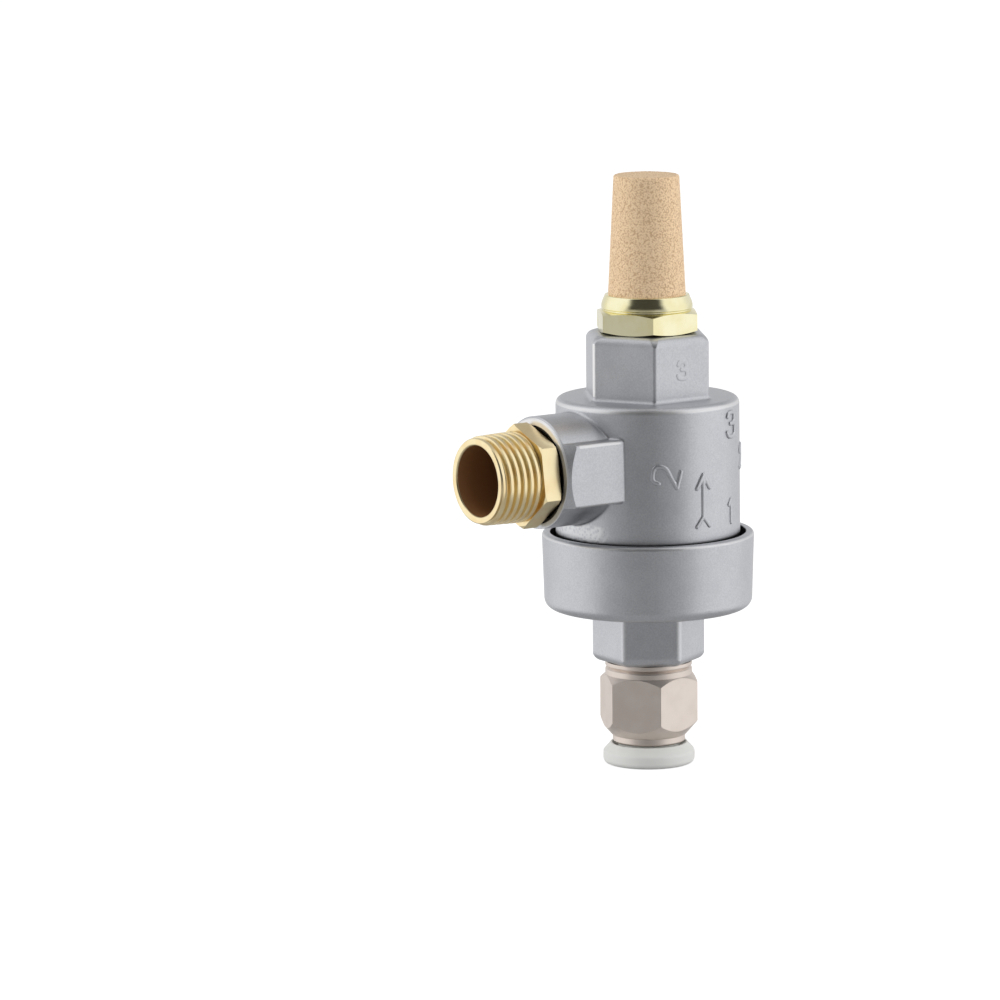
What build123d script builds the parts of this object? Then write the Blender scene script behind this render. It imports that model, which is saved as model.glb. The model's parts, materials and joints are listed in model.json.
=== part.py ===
from build123d import *
import math
import os

# Quick exhaust valve with its silencer, side nipple and push-in tube fitting.
# Millimetres. Z runs up the valve's axis from the foot of the release sleeve. The outlet port looks along -X.

# Parallel pipe threads: G 1/2 in the exhaust and outlet ports, G 3/8 in the supply port
thread_d = 20.955
thread_pitch = 1.814
supply_thread_d = 16.662
supply_thread_pitch = 1.337
thread_depth_share = 0.6403
thread_flank = math.radians(27.5)
stub_length = 10.65
stub_chamfer = 0.8
relief_step = 1.3
plain_neck_step = 0.6
relief_width = 1.75
tape_play = 0.02
tape_thickness = 0.2
thread_bore_depth = 12.2
port_sink = 0.8

# Clearances
run_play = 0.07
press_play = 0.02
soft_play = 0.3

# Push-in fitting for 12 mm tube
tube_d = 12.0
tube_play = 0.1
tube_bore_r = tube_d / 2 + tube_play
grip_r = tube_bore_r + 0.05
sleeve_flange_r = 10.7
sleeve_rim_h = 2.9
sleeve_h = 4.8
sleeve_dish_r = 8.95
sleeve_round = 1.1
sleeve_wall = 1.1
sleeve_pocket_depth = 1.7
sleeve_mouth = 0.4
sleeve_slit = 0.8
sleeve_slits = 4
bead_h = 0.6
bead_stand = 0.35
nose_h = 1.9
nose_lip = 0.2
ring_gap = 0.2
ring_r = 8.47
ring_h = 1.8
ring_round = 0.6
ring_pocket_play = 0.15
spigot_h = 3.4
spigot_counterbore_h = 2.0
grip_bore_r = 8.0
claw_thickness = 0.4
claw_rim = 0.5
claw_rise = 2.4
claw_teeth = 8
claw_slit = 0.7
spacer_h = 2.7
spacer_taper = 0.5
tube_seal_h = 3.6
tube_seal_wall = 0.9
tube_seal_root = 1.4
fitting_foot_r = 8.75
fitting_foot_round = 0.3
fitting_h = 17.4
fitting_hex_af = 20.6
fitting_hex_turn = -112.8
fitting_hex_foot = 3.6
fitting_hex_top = 12.75
fitting_corner_r = 0.3
fitting_cone_top = 14.4
fitting_cone_round = 1.2
neck_r = 10.15
neck_groove = 0.45
neck_ridge_h = 1.2
neck_round = 0.3
fitting_passage_r = 5.0
tube_stop_depth = 17.8
key_socket_af = 10.0
key_socket_depth = 6.0
fitting_seal_r = 0.75

# End cover with the supply port
supply_hex_af = 23.0
supply_hex_turn = -93.0
supply_hex_h = 12.8
supply_corner_r = 1.5
supply_end_round = 2.3
supply_corner_drop = 2.8
cover_rim_wall = 1.95
cover_draft = 0.55
cover_h = 17.9
cover_floor_h = 4.2
cover_rim_round = 0.9
cover_foot_round = 2.4
cover_mouth_play = 0.5
cover_mouth_depth = 2.5
junction_r = 1.0
o_ring_set = 3.1
o_ring_round = 0.8
o_ring_groove_w = 2.2
o_ring_groove_depth = 1.7
supply_bore_r = 7.2
supply_seat_w = 1.9
supply_seat_h = 2.8
seat_round = 0.3

# Cast valve body
drum_wall = 4.5
drum_draft = 0.15
drum_h = 45.35
drum_shoulder_r = 1.6
body_thread_step = 0.8
body_thread_play = 0.05
body_thread_h = 11.0
body_thread_chamfer = 0.7
chamber_r = 17.0
roof_h = 5.6
roof_round = 1.2
nozzle_bore_r = 8.6
nozzle_wall = 2.4
nozzle_lip_w = 1.2
exhaust_hex_af = 27.0
exhaust_hex_h = 15.1
exhaust_corner_r = 1.0
exhaust_end_round = 2.1
exhaust_corner_drop = 3.0
face_round = 0.3

# Outlet port on the body's side
outlet_height = 29.95
outlet_reach = 32.2
outlet_barrel_r = 13.0
outlet_barrel_lift = 0.4
outlet_af = 27.0
outlet_flat_w = 14.6
outlet_flat_round = 0.7
outlet_flat_root_r = 0.8
outlet_flat_lift = 0.6
outlet_turn = 0.8
outlet_mouth_x = 13.0
outlet_face_r = 12.6
outlet_chamfer_slope = 0.8
outlet_passage_r = 8.5
outlet_fillet = 0.6

# Hexagon nipple in the outlet port
nipple_hex_af = 21.0
nipple_hex_turn = 8.5
nipple_hex_h = 4.4
nipple_gap = 0.5
nipple_wall = 1.12
nipple_thread_h = 11.35
nipple_tip_chamfer = 0.43
nipple_tip_h = 0.9
nipple_run_out = 0.9
nipple_face_r = 11.4
nipple_chamfer = 0.35
crest_flat = 0.36

# Silencer in the exhaust port
silencer_hex_af = 22.0
silencer_hex_turn = -120.0
silencer_hex_h = 5.2
silencer_face_r = 10.6
silencer_chamfer = 0.75
silencer_bore_r = 6.6
collar_h = 3.55
collar_foot_r = 10.6
collar_rim_r = 9.75
collar_bulge_r = 3.0
collar_bulge_h = 1.18
collar_groove = 0.35
collar_groove_h = 0.3
element_socket_depth = 4.4
element_foot_r = 9.0
element_top_r = 7.6
element_h = 27.7
element_wall = 2.4
element_round = 0.35

# Shuttle
core_h = 5.2
core_chamfer = 0.4
core_flutes = 6
core_flute_r = 2.3
supply_pad_stand = 0.8
supply_pad_r = 12.0
supply_pad_mouth_r = 11.0
supply_pad_lip_h = 0.7
supply_pad_h = 2.5
hub_r = 5.4
lip_floor_h = 2.2
lip_h = 5.6
lip_wall = 0.8
lip_foot_play = 1.4
lip_root_step = 1.3
lip_round = 0.4
washer_r = 12.0
washer_h = 1.2
exhaust_pad_r = 12.0
exhaust_pad_h = 2.6
screw_r = 2.4
screw_flange_r = 6.0
screw_flange_h = 1.0
screw_head_r = 4.3
screw_head_h = 2.3
screw_socket_af = 3.0
screw_socket_depth = 1.6
screw_grip = 4.9
screw_tip_room = 0.5
shuttle_travel = 5.0

# Radii that follow from the sizes above
crest_r = thread_d / 2
thread_depth = thread_depth_share * thread_pitch
root_r = crest_r - thread_depth
stub_r = crest_r - thread_depth / 2
supply_stub_r = supply_thread_d / 2 - thread_depth_share * supply_thread_pitch / 2
thread_bore_r = stub_r + tape_thickness + 2 * tape_play
supply_thread_bore_r = supply_stub_r + tape_thickness + 2 * tape_play
relief_r = supply_stub_r - relief_step
plain_neck_r = stub_r - plain_neck_step
barrel_r = tube_bore_r + sleeve_wall
bead_r = barrel_r + bead_stand
drum_foot_r = chamber_r + drum_wall
drum_top_r = drum_foot_r - drum_draft
body_thread_r = drum_foot_r + body_thread_step
cover_mouth_r = body_thread_r + cover_mouth_play
cover_rim_r = cover_mouth_r + cover_rim_wall
cover_foot_r = cover_rim_r - cover_draft
o_ring_r = chamber_r + o_ring_set
lip_foot_r = chamber_r - lip_foot_play
lip_root_r = lip_foot_r - lip_root_step
nipple_bore_r = root_r - nipple_wall
nipple_tip_r = crest_r - nipple_tip_chamfer

# Levels up the axis, each set on the piece below it
ring_foot_z = sleeve_h + ring_gap
fitting_foot_z = ring_foot_z + ring_h
claw_z = fitting_foot_z + spigot_h
tube_seal_z = claw_z + claw_thickness + spacer_h
grip_shoulder_z = tube_seal_z + tube_seal_h
supply_face_z = fitting_foot_z + fitting_h
cover_foot_z = supply_face_z + supply_hex_h
cover_floor_z = cover_foot_z + cover_floor_h
cover_rim_z = cover_foot_z + cover_h
supply_seat_z = cover_floor_z + supply_seat_h
outlet_z = cover_floor_z + outlet_height
drum_top_z = cover_floor_z + drum_h
roof_z = drum_top_z - roof_h
exhaust_face_z = drum_top_z + exhaust_hex_h
collar_foot_z = exhaust_face_z + silencer_hex_h
collar_rim_z = collar_foot_z + collar_h
element_top_z = collar_rim_z + element_h
core_foot_z = supply_seat_z + supply_pad_stand
core_top_z = core_foot_z + core_h
washer_z = core_top_z + lip_floor_h
exhaust_pad_z = washer_z + washer_h
exhaust_pad_top_z = exhaust_pad_z + exhaust_pad_h
exhaust_seat_z = exhaust_pad_top_z + shuttle_travel

upwards = (Align.CENTER, Align.CENTER, Align.MIN)

os.makedirs("parts", exist_ok=True)


# A solid of revolution about Z. Each corner of its half section is (radius, height),
# or (radius, height, rounding).
def turned(outline):
    corners = [Vector(corner[0], 0, corner[1]) for corner in outline]
    face = make_face(Polyline(*corners, close=True))
    for place, corner in zip(corners, outline):
        if len(corner) == 3:
            nearest = face.vertices().sort_by_distance(place)[0]
            face = fillet(nearest, corner[2])
    return revolve(face, Axis.Z, 360)


def disc(radius, low, high):
    return turned([(0, low), (radius, low), (radius, high), (0, high)])


def tube(inner, outer, low, high):
    return turned([(inner, low), (outer, low), (outer, high), (inner, high)])


# A hexagon bar along Z, with a flat's normal 30 degrees on from turn
def hex_bar(across_flats, turn, low, high, corner_r=0):
    outline = RegularPolygon(across_flats / 2, 6, major_radius=False, rotation=turn)
    if corner_r:
        outline = fillet(outline.vertices(), corner_r)
    return Pos(0, 0, low) * extrude(outline, high - low)


# A cast hexagon along Z from height 0. Its far end is rounded along each flat and drops more at the corners.
def cast_hex(across_flats, length, corner_r, end_round, corner_drop):
    corner = across_flats / math.sqrt(3)
    cast = hex_bar(across_flats, 0, 0, length, corner_r)
    cast = cast & turned([(0, 0), (corner, 0), (corner, length, corner_drop), (0, length)])
    slab = Box(across_flats, 2 * across_flats, length, align=upwards)
    slab = fillet(slab.edges().filter_by(Axis.Y).group_by(Axis.Z)[-1], end_round)
    for turn in (30, 90, 150):
        cast = cast & Rot(0, 0, turn) * slab
    return cast


# The threaded hole of a port, looking up along Z with its face at height 0 and its depth below
def port_bore(bore_r):
    deep = -thread_bore_depth
    return turned([(0, 0), (bore_r + port_sink, 0), (bore_r, -port_sink), (bore_r, deep), (0, deep)])


# A male stub that screws into a port, with its root at height 0 and its end at -stub_length
def port_stub(outer_r, neck_r):
    end = -stub_length
    end_r = outer_r - stub_chamfer
    return turned([(0, 0), (neck_r, 0), (neck_r, -relief_width), (outer_r, -relief_width - stub_chamfer),
                   (outer_r, end + stub_chamfer), (end_r, end), (0, end)])


# Sealing tape wound on such a stub, between its relief and its end chamfer
def stub_tape():
    inner = stub_r + tape_play
    high = -relief_width - stub_chamfer
    return tube(inner, inner + tape_thickness, -stub_length + stub_chamfer, high)


# Each port's own pieces are made along Z, outwards from the port's face, and set in place by one of these
def at_exhaust(piece):
    return Pos(0, 0, exhaust_face_z) * piece


def at_supply(piece):
    return Pos(0, 0, supply_face_z) * Rot(180, 0, 0) * piece


def at_outlet(piece):
    return Pos(-outlet_reach, 0, outlet_z) * Rot(0, -90, 0) * piece


def silencer_thread_tape():
    return at_exhaust(stub_tape())


def nipple_thread_tape():
    return at_outlet(stub_tape())


# Fuses a cast feature on to its base and rounds the inner edge all round it
def grown(base, feature, rounding):
    both = base + feature
    return fillet(new_edges(base, feature, combined=both), rounding)


def drum():
    neck_z = cover_floor_z + body_thread_h
    step = body_thread_r - drum_foot_r
    return turned([(0, cover_floor_z), (body_thread_r - body_thread_chamfer, cover_floor_z),
                   (body_thread_r, cover_floor_z + body_thread_chamfer), (body_thread_r, neck_z - step),
                   (drum_foot_r, neck_z), (drum_top_r, drum_top_z, drum_shoulder_r), (0, drum_top_z)])


# The exhaust port's hexagon, rooted half-way down into the roof
def exhaust_hex():
    low = drum_top_z - roof_h / 2
    length = exhaust_face_z - low
    return Pos(0, 0, low) * cast_hex(exhaust_hex_af, length, exhaust_corner_r, exhaust_end_round,
                                     exhaust_corner_drop)


# The supply port's hexagon, rooted half-way up into the cover's floor
def supply_hex():
    high = cover_foot_z + cover_floor_h / 2
    length = high - supply_face_z
    hexagon = cast_hex(supply_hex_af, length, supply_corner_r, supply_end_round, supply_corner_drop)
    return Pos(0, 0, high) * Rot(0, 0, supply_hex_turn) * Rot(180, 0, 0) * hexagon


# The outlet's casting: a barrel with a spanner flat that stands proud of it on each side
def outlet_block():
    barrel = Pos(outlet_barrel_lift, 0) * Circle(outlet_barrel_r)
    outline = barrel + Pos(outlet_flat_lift, 0) * Rectangle(outlet_flat_w, outlet_af)
    roots = [vertex for vertex in outline.vertices() if abs(vertex.Y) < outlet_barrel_r]
    outline = fillet(roots, outlet_flat_root_r)
    tips = [vertex for vertex in outline.vertices() if abs(vertex.Y) > outlet_barrel_r]
    outline = fillet(tips, outlet_flat_round)
    corner = math.hypot(outlet_flat_w / 2 + outlet_flat_lift, outlet_af / 2)
    full_z = -(corner - outlet_face_r) * outlet_chamfer_slope
    end = turned([(0, 0), (outlet_face_r, 0, face_round), (corner, full_z), (corner, -outlet_reach),
                  (0, -outlet_reach)])
    bar = Pos(0, 0, -outlet_reach) * Rot(0, 0, outlet_turn) * extrude(outline, outlet_reach)
    return at_outlet(bar & end)


# The space the shuttle works in, with the exhaust nozzle left standing in its roof
def chamber():
    nozzle_r = nozzle_bore_r + nozzle_wall
    lip_r = nozzle_bore_r + nozzle_lip_w
    low = cover_floor_z - roof_h
    return turned([(0, low), (chamber_r, low), (chamber_r, roof_z, roof_round),
                   (nozzle_r, roof_z, roof_round), (nozzle_r, exhaust_seat_z + nozzle_wall),
                   (lip_r, exhaust_seat_z, seat_round), (nozzle_bore_r, exhaust_seat_z),
                   (0, exhaust_seat_z)])


def valve_body():
    body = grown(drum(), outlet_block(), outlet_fillet)
    body = grown(body, exhaust_hex(), junction_r)
    reach_in = outlet_reach - outlet_mouth_x
    body = body - chamber() - disc(nozzle_bore_r, exhaust_seat_z - seat_round, exhaust_face_z)
    body = body - at_outlet(disc(outlet_passage_r, -reach_in, 0))
    thread_bore = port_bore(thread_bore_r)
    return body - at_exhaust(thread_bore) - at_outlet(thread_bore)


def end_cover():
    thread_r = body_thread_r + body_thread_play
    thread_top_z = cover_rim_z - cover_mouth_depth - (cover_mouth_r - thread_r)
    seat_r = supply_bore_r + supply_seat_w
    shell = turned([(0, cover_foot_z), (cover_foot_r, cover_foot_z, cover_foot_round),
                    (cover_rim_r, cover_rim_z, cover_rim_round), (cover_mouth_r, cover_rim_z, face_round),
                    (cover_mouth_r, cover_rim_z - cover_mouth_depth), (thread_r, thread_top_z),
                    (thread_r, cover_floor_z), (seat_r, cover_floor_z, seat_round),
                    (seat_r, supply_seat_z, seat_round), (0, supply_seat_z)])
    cover = grown(shell, supply_hex(), junction_r)
    cover = cover - disc(supply_bore_r, supply_face_z, supply_seat_z)
    cover = cover - at_supply(port_bore(supply_thread_bore_r))
    half = o_ring_groove_w / 2
    return cover - tube(o_ring_r - half, o_ring_r + half, cover_floor_z - o_ring_groove_depth, cover_floor_z)


# The ring lies in the cover's groove and is pressed by the body's skirt
def cover_o_ring():
    half = (o_ring_groove_w - soft_play) / 2
    low = cover_floor_z - o_ring_groove_depth
    corners = [(o_ring_r - half, low), (o_ring_r + half, low), (o_ring_r + half, cover_floor_z),
               (o_ring_r - half, cover_floor_z)]
    return turned([(r, z, o_ring_round) for r, z in corners])


def shuttle_core():
    land_r = chamber_r - run_play
    chamfer = core_chamfer
    core = turned([(0, core_foot_z), (land_r - chamfer, core_foot_z), (land_r, core_foot_z + chamfer),
                   (land_r, core_top_z - chamfer), (land_r - chamfer, core_top_z), (hub_r, core_top_z),
                   (hub_r, exhaust_pad_z), (0, exhaust_pad_z)])
    mouth_r = supply_pad_mouth_r + press_play
    pad_r = supply_pad_r + press_play
    pad_lip_z = core_foot_z + supply_pad_lip_h
    pad_top_z = supply_seat_z + supply_pad_h
    recess = turned([(0, core_foot_z), (mouth_r, core_foot_z), (mouth_r, pad_lip_z), (pad_r, pad_lip_z),
                     (pad_r, pad_top_z), (0, pad_top_z)])
    hole_z = exhaust_pad_z - screw_grip - screw_tip_room
    core = core - recess - disc(screw_r + press_play, hole_z, exhaust_pad_z)
    for flute in PolarLocations(land_r, core_flutes) * Cylinder(core_flute_r, core_h, align=upwards):
        core = core - Pos(0, 0, core_foot_z) * flute
    return core


def supply_pad():
    pad_lip_z = core_foot_z + supply_pad_lip_h
    pad_top_z = supply_seat_z + supply_pad_h
    return turned([(0, supply_seat_z), (supply_pad_mouth_r, supply_seat_z),
                   (supply_pad_mouth_r, pad_lip_z + press_play), (supply_pad_r, pad_lip_z + press_play),
                   (supply_pad_r, pad_top_z), (0, pad_top_z)])


# Cup seal, open upwards, that folds in to let supply air past and spreads against air from the outlet
def shuttle_lip_seal():
    hole_r = hub_r + press_play
    tip_r = chamber_r - soft_play
    return turned([(hole_r, core_top_z), (lip_foot_r, core_top_z, lip_round), (tip_r, core_top_z + lip_h),
                   (tip_r - lip_wall, core_top_z + lip_h), (lip_root_r, washer_z, lip_round),
                   (hole_r, washer_z)])


def shuttle_washer():
    return tube(hub_r + press_play, washer_r, washer_z, exhaust_pad_z)


def exhaust_pad():
    return tube(screw_r + press_play, exhaust_pad_r, exhaust_pad_z, exhaust_pad_top_z)


def shuttle_screw():
    head_z = exhaust_pad_top_z + screw_flange_h
    top_z = head_z + screw_head_h
    screw = turned([(0, exhaust_pad_z - screw_grip), (screw_r, exhaust_pad_z - screw_grip),
                    (screw_r, exhaust_pad_top_z), (screw_flange_r, exhaust_pad_top_z),
                    (screw_flange_r, head_z), (screw_head_r, head_z), (screw_head_r, top_z, face_round),
                    (0, top_z)])
    return screw - hex_bar(screw_socket_af, 0, top_z - screw_socket_depth, top_z)


def silencer_base():
    corner = silencer_hex_af / math.sqrt(3)
    end = turned([(0, exhaust_face_z), (silencer_face_r, exhaust_face_z),
                  (corner, exhaust_face_z + silencer_chamfer), (corner, collar_foot_z - silencer_chamfer),
                  (silencer_face_r, collar_foot_z), (0, collar_foot_z)])
    base = hex_bar(silencer_hex_af, silencer_hex_turn, exhaust_face_z, collar_foot_z) & end
    groove_r = collar_foot_r - collar_groove
    bulge_z = collar_foot_z + collar_groove_h
    collar = turned([(0, collar_foot_z), (groove_r, collar_foot_z), (groove_r, bulge_z),
                     (collar_foot_r, bulge_z, face_round),
                     (collar_foot_r, bulge_z + collar_bulge_h, collar_bulge_r),
                     (collar_rim_r, collar_rim_z, face_round), (0, collar_rim_z)])
    base = base + collar + at_exhaust(port_stub(stub_r, plain_neck_r))
    socket_z = collar_rim_z - element_socket_depth
    base = base - disc(silencer_bore_r, exhaust_face_z - stub_length, collar_rim_z)
    return base - disc(element_foot_r + press_play, socket_z, collar_rim_z)


def silencer_element():
    foot_z = collar_rim_z - element_socket_depth
    roof = element_top_z - element_wall
    return turned([(element_foot_r - element_wall, foot_z), (element_foot_r, foot_z),
                   (element_foot_r, collar_rim_z), (element_top_r, element_top_z, element_round),
                   (0, element_top_z), (0, roof), (element_top_r - element_wall, roof)])


# Hexagon nipple. Its thread is drawn as round grooves at the thread's own pitch, depth and flank.
def side_nipple():
    corner = nipple_hex_af / math.sqrt(3)
    hex_top = nipple_gap + nipple_hex_h
    tip = hex_top + nipple_thread_h
    bar = hex_bar(nipple_hex_af, nipple_hex_turn, nipple_gap, hex_top)
    end = turned([(0, nipple_gap), (nipple_face_r, nipple_gap), (corner, nipple_gap + nipple_chamfer),
                  (corner, hex_top - nipple_chamfer), (nipple_face_r, hex_top), (0, hex_top)])
    crest_low = hex_top + nipple_run_out + thread_depth * math.tan(thread_flank)
    crest_high = tip - nipple_tip_h
    thread = turned([(0, hex_top), (root_r, hex_top), (root_r, hex_top + nipple_run_out),
                     (crest_r, crest_low), (crest_r, crest_high), (nipple_tip_r, tip, face_round),
                     (0, tip)])
    groove_half = (thread_pitch - crest_flat) / 2
    floor_half = groove_half - thread_depth * math.tan(thread_flank)
    grooves = int((crest_high - crest_low - crest_flat) / thread_pitch)
    for turn in range(grooves):
        middle = crest_low + crest_flat + groove_half + turn * thread_pitch
        thread = thread - turned([(root_r, middle - floor_half), (crest_r, middle - groove_half),
                                  (corner, middle - groove_half), (corner, middle + groove_half),
                                  (crest_r, middle + groove_half), (root_r, middle + floor_half)])
    nipple = port_stub(stub_r, plain_neck_r) + disc(plain_neck_r, 0, nipple_gap) + (bar & end) + thread
    return at_outlet(nipple - disc(nipple_bore_r, -stub_length, tip))


def fitting_body():
    corner = fitting_hex_af / math.sqrt(3)
    cone_z = fitting_foot_z + fitting_cone_top
    groove_z = cone_z + neck_ridge_h
    outline = turned([(0, fitting_foot_z), (fitting_foot_r, fitting_foot_z, fitting_foot_round),
                      (corner, fitting_foot_z + fitting_hex_foot, fitting_cone_round),
                      (corner, fitting_foot_z + fitting_hex_top), (neck_r, cone_z),
                      (neck_r, groove_z, neck_round), (neck_r - neck_groove, groove_z + neck_groove),
                      (neck_r, groove_z + 2 * neck_groove, neck_round), (neck_r, supply_face_z),
                      (0, supply_face_z)])
    bar = hex_bar(fitting_hex_af, fitting_hex_turn, fitting_foot_z, supply_face_z, fitting_corner_r)
    body = (outline & bar) + at_supply(port_stub(supply_stub_r, relief_r))
    end_z = supply_face_z + stub_length
    body = body - disc(grip_bore_r, fitting_foot_z, grip_shoulder_z)
    body = body - disc(tube_bore_r, fitting_foot_z, fitting_foot_z + tube_stop_depth)
    body = body - disc(fitting_passage_r, fitting_foot_z, end_z)
    return body - hex_bar(key_socket_af, 0, end_z - key_socket_depth, end_z)


# O-ring under the fitting's shoulder, in the sunk mouth of the port
def fitting_thread_seal():
    middle_r = relief_r + press_play + fitting_seal_r
    ring = revolve(Plane.XZ * Pos(middle_r, 0) * Circle(fitting_seal_r), Axis.Z, 360)
    return Pos(0, 0, supply_face_z + fitting_seal_r) * ring


def fitting_guide_ring():
    top_z = ring_foot_z + ring_h
    spigot_r = grip_bore_r - press_play
    bore_r = barrel_r + run_play
    step_z = claw_z - spigot_counterbore_h
    room_r = bead_r + run_play
    return turned([(bore_r, ring_foot_z), (ring_r, ring_foot_z, ring_round), (ring_r, top_z),
                   (spigot_r, top_z), (spigot_r, claw_z), (room_r, claw_z), (room_r, step_z),
                   (bore_r, step_z)])


# The collar that frees the tube: its nose comes up under the claws and spreads them
def release_sleeve():
    pocket_z = sleeve_h - sleeve_pocket_depth
    pocket_r = ring_r + ring_pocket_play
    bead_z = claw_z - spigot_counterbore_h + run_play
    bead_top_z = bead_z + bead_h
    nose_z = bead_top_z + nose_h
    sleeve = turned([(tube_bore_r + sleeve_mouth, 0), (sleeve_flange_r, 0, sleeve_round),
                     (sleeve_flange_r, sleeve_rim_h, sleeve_round), (sleeve_dish_r, sleeve_h),
                     (pocket_r, sleeve_h), (pocket_r, pocket_z), (barrel_r, pocket_z), (barrel_r, bead_z),
                     (bead_r, bead_z), (bead_r, bead_top_z), (barrel_r, bead_top_z),
                     (tube_bore_r + nose_lip, nose_z), (tube_bore_r, nose_z),
                     (tube_bore_r, sleeve_mouth)])
    slit = Pos(0, 0, sleeve_h) * Box(2 * sleeve_flange_r, sleeve_slit, nose_z, align=upwards)
    for turn in range(sleeve_slits // 2):
        sleeve = sleeve - Rot(0, 0, turn * 360 / sleeve_slits) * slit
    return sleeve


# Spring-steel grab ring: a flat rim with teeth that slope inwards and up
def fitting_claws():
    rim_r = grip_bore_r - claw_rim
    ring = turned([(rim_r, claw_z), (grip_bore_r - press_play, claw_z),
                   (grip_bore_r - press_play, claw_z + claw_thickness), (rim_r, claw_z + claw_thickness),
                   (grip_r, claw_z + claw_thickness + claw_rise), (grip_r, claw_z + claw_rise)])
    slit = Box(rim_r, claw_slit, claw_thickness + claw_rise, align=(Align.MIN, Align.CENTER, Align.MIN))
    for turn in range(claw_teeth):
        ring = ring - Pos(0, 0, claw_z) * Rot(0, 0, turn * 360 / claw_teeth) * slit
    return ring


def fitting_spacer():
    low = claw_z + claw_thickness
    inner_r = grip_bore_r - claw_rim + press_play
    return turned([(inner_r, low), (grip_bore_r - press_play, low),
                   (grip_bore_r - press_play, tube_seal_z), (inner_r - spacer_taper, tube_seal_z)])


# Lip seal that grips the tube, open towards the pressure
def fitting_tube_seal():
    outer_r = grip_bore_r - press_play
    wall_r = outer_r - tube_seal_wall
    low = tube_seal_z
    lip_z = grip_shoulder_z - tube_seal_wall
    return turned([(wall_r, low), (outer_r, low), (outer_r, grip_shoulder_z), (wall_r, grip_shoulder_z),
                   (wall_r, low + tube_seal_root), (grip_r + tube_seal_wall / 2, lip_z), (grip_r, lip_z),
                   (grip_r, low + tube_seal_wall)])


makers = [valve_body, end_cover, cover_o_ring, shuttle_core, supply_pad, shuttle_lip_seal, shuttle_washer,
          exhaust_pad, shuttle_screw, silencer_base, silencer_element, silencer_thread_tape, side_nipple,
          nipple_thread_tape, fitting_body, fitting_thread_seal, fitting_tube_seal, fitting_spacer,
          fitting_claws, fitting_guide_ring, release_sleeve]
for maker in makers:
    export_step(maker(), f"parts/{maker.__name__}.step")
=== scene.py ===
import json
import math

import bmesh
import bpy
from mathutils import Matrix, Quaternion, Vector, noise


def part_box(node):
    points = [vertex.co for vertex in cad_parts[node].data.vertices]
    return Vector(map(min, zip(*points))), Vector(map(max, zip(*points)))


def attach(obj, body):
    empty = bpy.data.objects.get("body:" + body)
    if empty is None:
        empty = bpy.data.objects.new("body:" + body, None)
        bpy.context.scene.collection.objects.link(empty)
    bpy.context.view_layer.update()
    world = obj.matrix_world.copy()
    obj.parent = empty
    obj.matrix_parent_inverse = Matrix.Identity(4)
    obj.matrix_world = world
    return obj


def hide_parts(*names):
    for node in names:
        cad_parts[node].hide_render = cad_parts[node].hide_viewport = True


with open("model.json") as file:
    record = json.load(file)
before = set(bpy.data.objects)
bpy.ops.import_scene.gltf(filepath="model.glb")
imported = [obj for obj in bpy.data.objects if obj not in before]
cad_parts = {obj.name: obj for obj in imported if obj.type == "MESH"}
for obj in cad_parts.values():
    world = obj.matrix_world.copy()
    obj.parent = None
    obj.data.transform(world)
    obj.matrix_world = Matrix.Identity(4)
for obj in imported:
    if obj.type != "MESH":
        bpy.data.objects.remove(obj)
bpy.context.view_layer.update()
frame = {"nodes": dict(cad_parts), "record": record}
nodes = frame["nodes"]
mounts = {mount["name"]: mount for mount in frame["record"]["mounts"]}
mm = 0.001
weld = 0.002 * mm                  # vertices nearer than this are merged
hair = 0.001 * mm                  # slack where two lengths are compared
print("frame loaded")


# One output socket. Shader maths on it adds the Math nodes.
class Wire:
    def __init__(self, tree, socket):
        self.tree = tree
        self.socket = socket

    def maths(self, operation, *values):
        return self.tree.add("ShaderNodeMath", {"operation": operation}, dict(enumerate(values)))

    def __add__(self, other):
        return self.maths("ADD", self, other)

    def __radd__(self, other):
        return self.maths("ADD", other, self)

    def __sub__(self, other):
        return self.maths("SUBTRACT", self, other)

    def __rsub__(self, other):
        return self.maths("SUBTRACT", other, self)

    def __mul__(self, other):
        return self.maths("MULTIPLY", self, other)

    def __rmul__(self, other):
        return self.maths("MULTIPLY", other, self)

    def __abs__(self):
        return self.maths("ABSOLUTE", self)


# A node tree. Every node but the maths comes from add: settings first, then the values or links of its
# sockets.
class Tree:
    def __init__(self, owner):
        owner.use_nodes = True
        self.nodes = owner.node_tree.nodes
        self.links = owner.node_tree.links
        self.nodes.clear()

    def add(self, kind, settings={}, values={}, out=0):
        node = self.nodes.new(kind)
        for name, value in settings.items():
            setattr(node, name, value)
        for name, value in values.items():
            if isinstance(value, Wire):
                self.links.new(value.socket, node.inputs[name])
            else:
                node.inputs[name].default_value = value
        return Wire(self, node.outputs[out]) if node.outputs else None

    # a smooth step of a value, none at low and full at high
    def step(self, value, low, high):
        settings = {"interpolation_type": "SMOOTHSTEP"}
        return self.add("ShaderNodeMapRange", settings, {"Value": value, "From Min": low, "From Max": high})

    # full between low and high and none outside them, with soft ends inside
    def band(self, value, low, high, soft):
        return self.step(value, low, low + soft) * (1 - self.step(value, high - soft, high))

    def blend(self, factor, first, second):
        settings = {"data_type": "RGBA"}
        return self.add("ShaderNodeMix", settings, {"Factor": factor, "A": first, "B": second}, "Result")


def colour(red, green, blue):
    return (red, green, blue, 1)


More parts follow.
